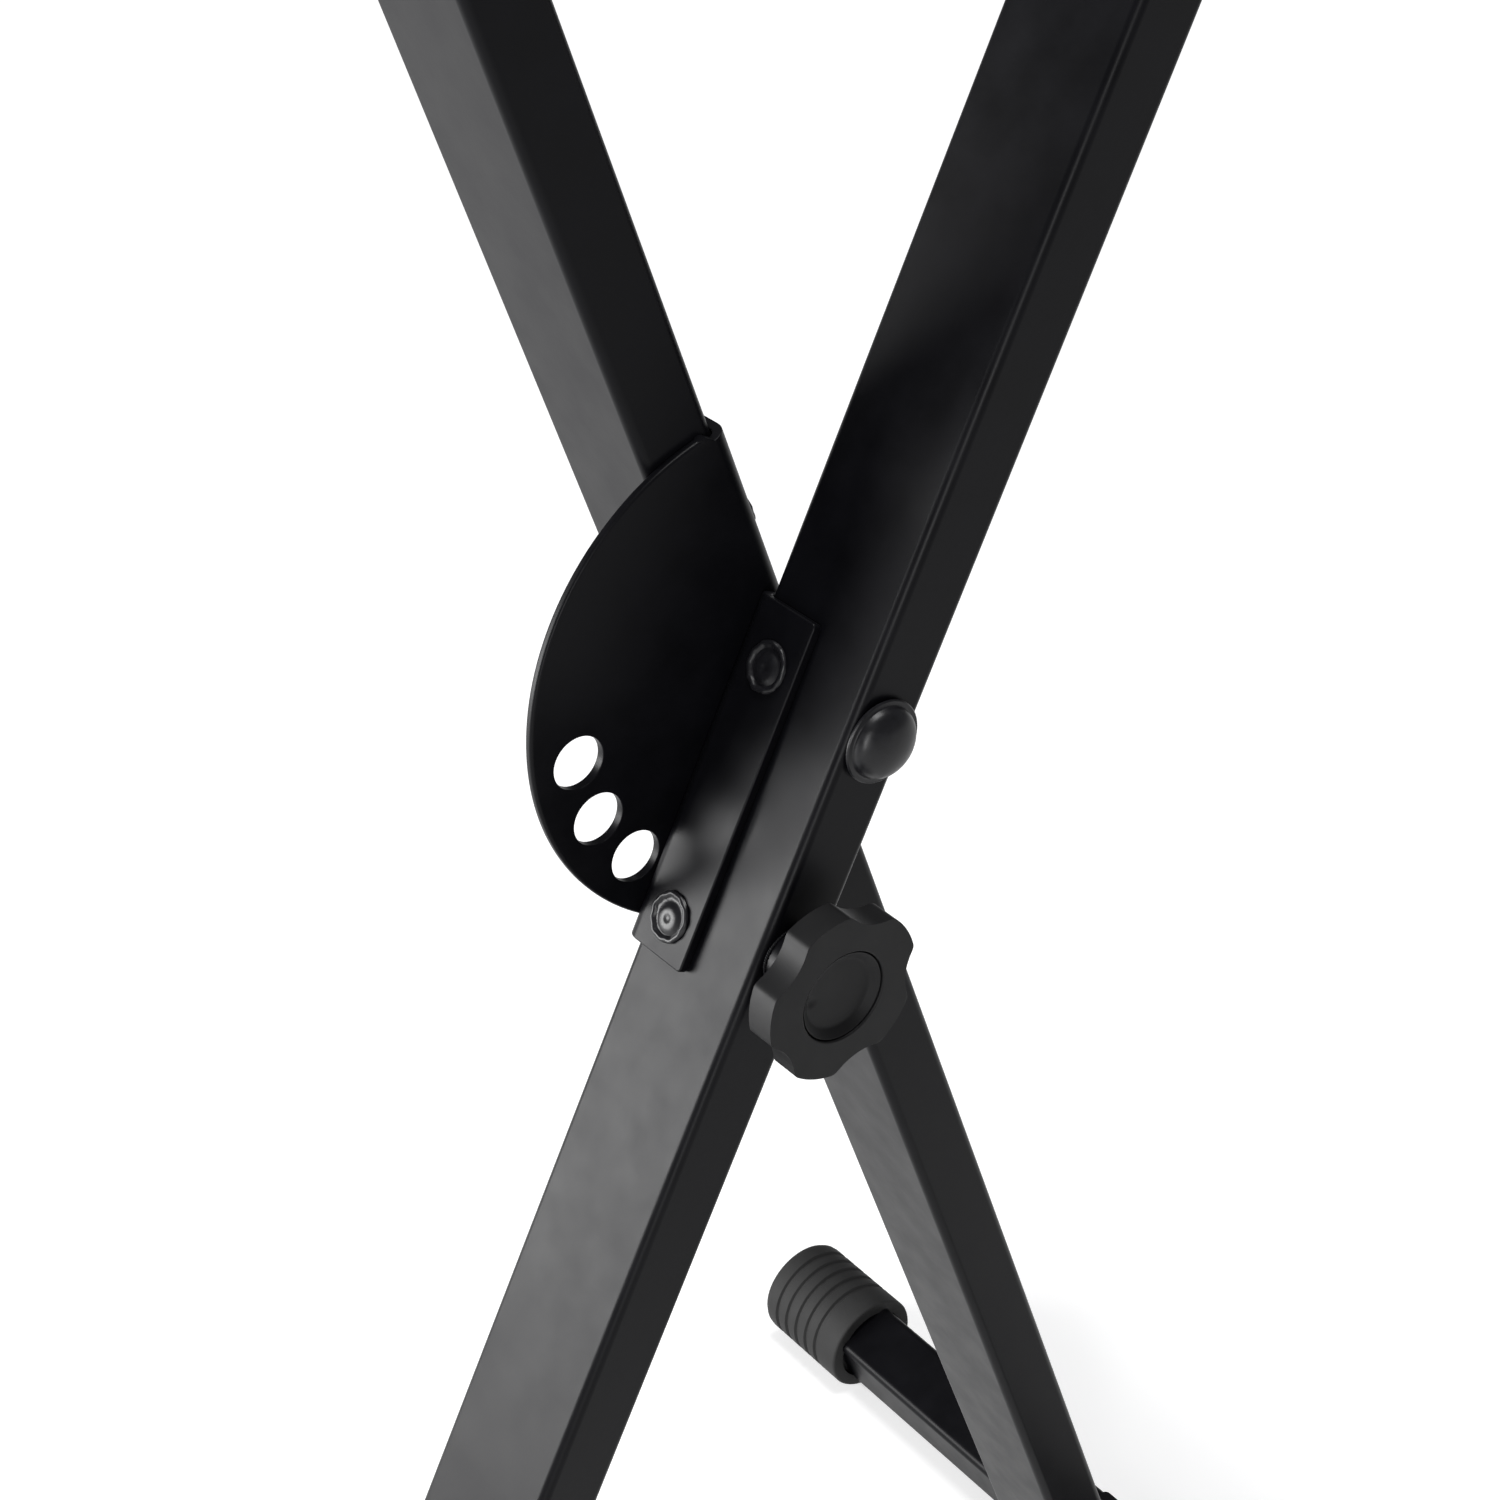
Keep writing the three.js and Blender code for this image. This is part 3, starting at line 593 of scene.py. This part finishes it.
def knob_star():
    """Five-lobed rim with eased edges, the dish in its face and the hub behind it."""
    dish = knob_dish / 2
    bm = bmesh.new()
    knob_outline(bm)
    ring(bm, dish, 0, 0, 0, 96)
    fill_and_thicken(bm, knob_rim)
    reach = {v: math.hypot(v.co.x, v.co.z) for v in bm.verts}
    rims = sharp_edges(bm, 60)
    mouth = [e for e in rims if all(reach[v] < dish + 0.1 and v.co.y < 0.01 for v in e.verts)]
    outer = [e for e in rims if all(reach[v] > dish + 1 for v in e.verts)]
    ease(bm, outer, knob_edge, 4)
    ease(bm, mouth, 0.5, 3)
    bmesh.ops.translate(bm, vec=(0, knob_face, 0), verts=bm.verts)
    finish("knob_star_moulded", bm, knob_place, "knob", "knob_plastic", "knob_head", smooth_to=40)
    hub_bore = boss_outer / 2 + 0.6
    hub_radius = hub_bore + knob_hub_wall
    stud_bore = stud_diameter / 2 + slip
    core = turned([
        (0, dish_floor), (dish + 0.6, dish_floor), (hub_radius, knob_face + knob_rim - 0.5),
        (hub_radius, hub_end - 0.6), (hub_radius - 0.6, hub_end), (hub_bore, hub_end),
        (hub_bore, hub_recess), (stud_bore, hub_recess), (stud_bore, stud_start), (0, stud_start),
    ], 96)
    finish("knob_hub_moulded", core, knob_place, "knob", "knob_plastic", smooth_to=40)


def knob_cover():
    """Cover pressed into the dish: a flat floor that slopes up to the dish's mouth all round,
    with a shallow notch for prying it out."""
    back = dish_floor - slip
    floor = back - cover_floor
    radius = knob_dish / 2 - slip
    flat = 9.2
    bm = turned([
        (0, floor), *((k / 2, floor) for k in range(11, int(2 * flat))),
        (flat, floor), (flat + 0.5, floor - 0.3), (radius - 0.4, floor - 1.7), (radius - 0.1, floor - 1.8),
        (radius, floor - 1.6), (radius, back), (0, back),
    ], 120)
    around = math.radians(201)
    for vert in bm.verts:
        away = math.hypot(vert.co.x - 8.2 * math.cos(around), vert.co.z - 8.2 * math.sin(around)) / 2.0
        if away < 1 and vert.co.y < floor + 0.1:
            vert.co.y += 0.5 * (1 - away ** 2) ** 2
    finish("knob_cover_moulded", bm, knob_place, "knob", "knob_plastic", "knob_cap", smooth_to=50)


def knob_stud():
    """Stud with a rolled thread up to the clip's groove and a plain locking end."""
    clip_front = -outer_face + tube_wall + slip
    start = stud_start + slip
    core = stud_diameter / 2 - 1
    bm = turned([
        (0, start), (stud_diameter / 2 - 0.6, start), (stud_diameter / 2, start + 0.6),
        *thread(start + 1, clip_front - 0.4, stud_diameter / 2, stud_pitch, 0.75),
        (stud_diameter / 2, clip_front - slip), (core, clip_front - slip), (core, clip_front + 1.5),
        (stud_diameter / 2, clip_front + 1.5), (stud_diameter / 2, -slip - 1), (stud_diameter / 2 - 1, -slip), (0, -slip),
    ], 64)
    finish("knob_stud_rolled", bm, knob_place, "knob", "zinc_steel", "knob_stud", flat_faces=False)
    clip = turned([(4.3, clip_front), (7.3, clip_front), (7.5, clip_front + 0.2), (7.5, clip_front + 1.0),
                   (7.3, clip_front + 1.2), (4.3, clip_front + 1.2), (4.3, clip_front)])
    finish("stud_clip_stamped", clip, knob_place, "stud_clip", "zinc_steel", "stud_clip")


def stud_boss():
    bore = stud_diameter / 2 + 0.3
    outer = boss_outer / 2
    bm = turned([
        (bore, boss_top + 0.6), (bore + 0.6, boss_top), (outer - 0.5, boss_top), (outer, boss_top + 0.5),
        (outer, -outer_face), (bore, -outer_face), (bore, boss_top + 0.6)])
    finish("stud_boss_turned", bm, knob_place, "front_leg", "black_paint", "stud_boss")
    bead = bmesh.new()
    around = [(outer * math.cos(a), -outer_face - 0.2, outer * math.sin(a))
              for a in (k * math.pi / 20 for k in range(41))]
    weld_bead(bead, around, radius=0.6, ripple=1.6)
    inside = [v for v in bead.verts if v.co.y > -outer_face + 0.6]
    bmesh.ops.delete(bead, geom=inside, context="VERTS")
    bmesh.ops.holes_fill(bead, edges=[e for e in bead.edges if e.is_boundary], sides=0)
    finish("stud_boss_weld", bead, knob_place, "front_leg", "black_paint", flat_faces=False)


# ---------- bar bolts and nuts ----------
def bar_bolt(side, end, out, place_name, index):
    """Button-head socket screw and its nut, through bar and end plate."""
    head = bar_axis + bar_size / 2 + slip
    crown = head + 4.4
    tip = half_length - slip - 6.5 - 2
    bolt = turned([
        (0, tip), (bar_bolt_diameter / 2 - 1, tip), *thread(tip + 1, tip + 9.8, bar_bolt_diameter / 2, 1.25, 0.6),
        (bar_bolt_diameter / 2, head), (6.7, head), (7, head + 0.4), (7, head + 1.4), (6.6, head + 2.6), (5.9, head + 3.7),
        (4.7, crown), (2.6, crown), (2.4, crown - 0.3), (2.4, crown - 2.2), (0, crown - 2.6),
    ], 48)
    y = side * tube_middle + (index * 2 - 3) * bar_bolt_spacing / 2
    stand = Matrix.Rotation(end * math.pi / 2, 4, "X")
    place = leg_place[side] @ Matrix.Translation((out * bar_offset, y, 0)) @ stand
    node = f"{leg_name[side]}_{place_name}_bolt_{index}"
    finish(f"{node}_headed", bolt, place, leg_body[side], "black_steel", node, flat_faces=False)
    nut = hex_nut(13, bar_bolt_diameter + 0.6, 6.5, 0.7)
    node = f"{leg_name[side]}_{place_name}_nut_{index}"
    lift = Matrix.Translation((0, half_length - slip - 6.5, 0))
    finish(f"{node}_forged", nut, place @ lift, leg_body[side], "black_steel", node)


# ---------- rubber ----------
def rubber_body(open_y, end_y, radius, grooves):
    """Round sleeve closed at its outer end, with shallow grip grooves and a soft rolled edge;
    the hollow holds the bar's end."""
    inner = bar_size / 2 + 2.5
    profile = [(0, end_y), (radius - 3.5, end_y), (radius - 1.2, end_y - 0.8), (radius - 0.3, end_y - 2.2),
               (radius, end_y - 4)]
    for at in grooves:
        profile += [(radius, at + 1.2), (radius - 0.9, at + 0.5), (radius - 0.9, at - 0.5), (radius, at - 1.2)]
    profile += [(radius, open_y + 1.0), (radius - 0.4, open_y + 0.3), (radius - 1.0, open_y), (inner, open_y),
                (inner, open_y + 3), (0, open_y + 3)]
    return turned(profile, 72)


def foot(side, y_end):
    outer = floor_bar_length / 2 + cap_end_wall
    open_y = outer - foot_length
    grooves = [outer - 9 - 6 * k for k in range(5)]
    bm = rubber_body(open_y, outer, foot_radius, grooves)
    if y_end < 0:
        bmesh.ops.rotate(bm, verts=bm.verts, cent=(0, 0, 0), matrix=Matrix.Rotation(math.pi, 3, "Z"))
    place = leg_place[side] @ Matrix.Translation((side * bar_offset, 0, -bar_axis))
    where = "front" if y_end < 0 else "back"
    node = f"{leg_name[side]}_leg_foot_{where}"
    finish(f"{node}_moulded", bm, place, leg_body[side], "rubber", node)


def arm_sleeve(side, y_end):
    outer = top_arm_length / 2 + cap_end_wall
    open_y = outer - sleeve_length
    grooves = [open_y + 8 + 6.5 * k for k in range(11)]
    bm = rubber_body(open_y, outer - lip_length + 1, sleeve_radius, sorted(grooves, reverse=True))
    if y_end < 0:
        bmesh.ops.rotate(bm, verts=bm.verts, cent=(0, 0, 0), matrix=Matrix.Rotation(math.pi, 3, "Z"))
    place = leg_place[side] @ Matrix.Translation((-side * bar_offset, 0, bar_axis))
    where = "front" if y_end < 0 else "back"
    node = f"{leg_name[side]}_leg_arm_cap_{where}"
    finish(f"{node}_sleeve", bm, place, leg_body[side], "rubber", node)
    # raised lip that keeps the keyboard on the arm
    lip = bmesh.new()
    first = lip.verts.new((lip_radius, 0, lip_rise))
    upper = bmesh.ops.spin(lip, geom=[first], cent=(0, 0, lip_rise), axis=(0, -1, 0), angle=math.pi, steps=36)
    second = lip.verts.new((-lip_radius, 0, 0))
    lower = bmesh.ops.spin(lip, geom=[second], cent=(0, 0, 0), axis=(0, -1, 0), angle=math.pi, steps=36)
    ends = [next(v for v in done["geom_last"] if isinstance(v, bmesh.types.BMVert)) for done in (upper, lower)]
    lip.edges.new((ends[0], second))
    lip.edges.new((ends[1], first))
    fill_and_thicken(lip, lip_length)
    ease(lip, sharp_edges(lip, 60), 2.2, 5)
    bmesh.ops.translate(lip, vec=(0, outer - lip_length if y_end > 0 else -outer, 0), verts=lip.verts)
    finish(f"{node}_lip", lip, place, leg_body[side], "rubber", node)


for side in (-1, 1):
    leg_tube(side)
    for end, out, length, kind in ((-1, side, floor_bar_length, "floor_bar"), (1, -side, top_arm_length, "top_arm")):
        place_name = kind.split("_")[0]
        bar(side, end, out, length, kind)
        end_plate_piece(side, end, out, place_name)
        for index in (1, 2):
            bar_bolt(side, end, out, place_name, index)
    for y_end in (-1, 1):
        foot(side, y_end)
        arm_sleeve(side, y_end)
front_bracket()
locking_plate()
rivet(-1, 4, "bracket_rivet_upper")
rivet(-1, -62.5, "bracket_rivet_lower")
rivet(1, 37, "plate_rivet_upper")
rivet(1, -37, "plate_rivet_lower")
pivot_bolt_piece()
pivot_fixings()
knob_star()
knob_cover()
knob_stud()
stud_boss()


# ---------- floor, light and camera ----------
def pale_floor():
    """Plain matt studio floor, white to the camera and in reflections. It glows more where less
    lamp light reaches it, and keeps the stand's shadow."""
    bm = bmesh.new()
    bmesh.ops.create_grid(bm, x_segments=1, y_segments=1, size=300.0)
    mesh = bpy.data.meshes.new("studio_floor")
    bm.to_mesh(mesh)
    bm.free()
    floor = bpy.data.objects.new("studio_floor", mesh)
    bpy.context.scene.collection.objects.link(floor)
    material = bpy.data.materials.new("white_floor")
    material.use_nodes = True
    tree = material.node_tree
    tree.nodes.clear()
    matt = add(tree, "ShaderNodeBsdfDiffuse", {"Color": linear("#e6e6e6")})
    rays = add(tree, "ShaderNodeLightPath")
    seen = add(tree, "ShaderNodeMath", {0: rays.outputs["Is Camera Ray"], 1: rays.outputs["Is Glossy Ray"]},
               operation="MAXIMUM")
    seen = add(tree, "ShaderNodeMath", {0: seen.outputs[0], 1: rays.outputs["Is Transmission Ray"]},
               operation="MAXIMUM")
    place = add(tree, "ShaderNodeTexCoord").outputs["Object"]
    away = add(tree, "ShaderNodeVectorMath", {0: place}, operation="LENGTH").outputs["Value"]
    level = spread(tree, away, 0.42, 0.88, start=0.4, end=2.6)
    lift = add(tree, "ShaderNodeMath", {0: seen.outputs[0], 1: level}, operation="MULTIPLY")
    glow = add(tree, "ShaderNodeEmission", {"Color": linear("#ffffff"), "Strength": lift.outputs[0]})
    both = add(tree, "ShaderNodeAddShader")
    tree.links.new(matt.outputs[0], both.inputs[0])
    tree.links.new(glow.outputs[0], both.inputs[1])
    add(tree, "ShaderNodeOutputMaterial", {"Surface": both.outputs[0]})
    mesh.materials.append(material)


def softbox(name, place, target, width, height, watts):
    lamp = bpy.data.lights.new(name, "AREA")
    lamp.shape = "RECTANGLE"
    lamp.size = width
    lamp.size_y = height
    lamp.energy = watts
    box = bpy.data.objects.new(name, lamp)
    box.location = place
    box.rotation_euler = (Vector(target) - Vector(place)).to_track_quat("-Z", "Y").to_euler()
    bpy.context.scene.collection.objects.link(box)


def studio_light():
    world = bpy.data.worlds.new("studio")
    world.use_nodes = True
    world.node_tree.nodes["Background"].inputs["Color"].default_value = linear("#8e8e90")
    world.node_tree.nodes["Background"].inputs["Strength"].default_value = 0.8
    bpy.context.scene.world = world
    crossing = (0, 0, 0.42)
    softbox("side_softbox", (-1.25, 0.85, 0.38), crossing, 0.9, 0.7, 42)
    softbox("front_strip_softbox", (-0.98, -1.07, 0.70), crossing, 0.2, 0.9, 12)
    softbox("top_softbox", (0.0, 0.0, 1.9), crossing, 0.6, 0.6, 20)


def photo_camera():
    """Same view as the photograph: turned 39.6 degrees to the left, 30.1 degrees up, and tilted."""
    turn, rise, roll = (math.radians(a) for a in (39.6053, 30.1027, 3.0445))
    level = Vector((math.cos(turn), -math.sin(turn), 0))
    steep = Vector((math.sin(turn) * math.sin(rise), math.cos(turn) * math.sin(rise), math.cos(rise)))
    right = math.cos(roll) * level + math.sin(roll) * steep
    up = -math.sin(roll) * level + math.cos(roll) * steep
    back = right.cross(up)
    lens = bpy.data.cameras.new("photo_camera")
    lens.sensor_width = 36
    lens.lens = 69.058
    lens.clip_start = 0.05
    camera = bpy.data.objects.new("photo_camera", lens)
    camera.matrix_world = Matrix((
        (right.x, up.x, back.x, -0.394802), (right.y, up.y, back.y, -0.472969),
        (right.z, up.z, back.z, 0.805548), (0, 0, 0, 1)))
    bpy.context.scene.collection.objects.link(camera)
    bpy.context.scene.camera = camera


pale_floor()
studio_light()
photo_camera()
bpy.context.scene.view_settings.view_transform = "Standard"
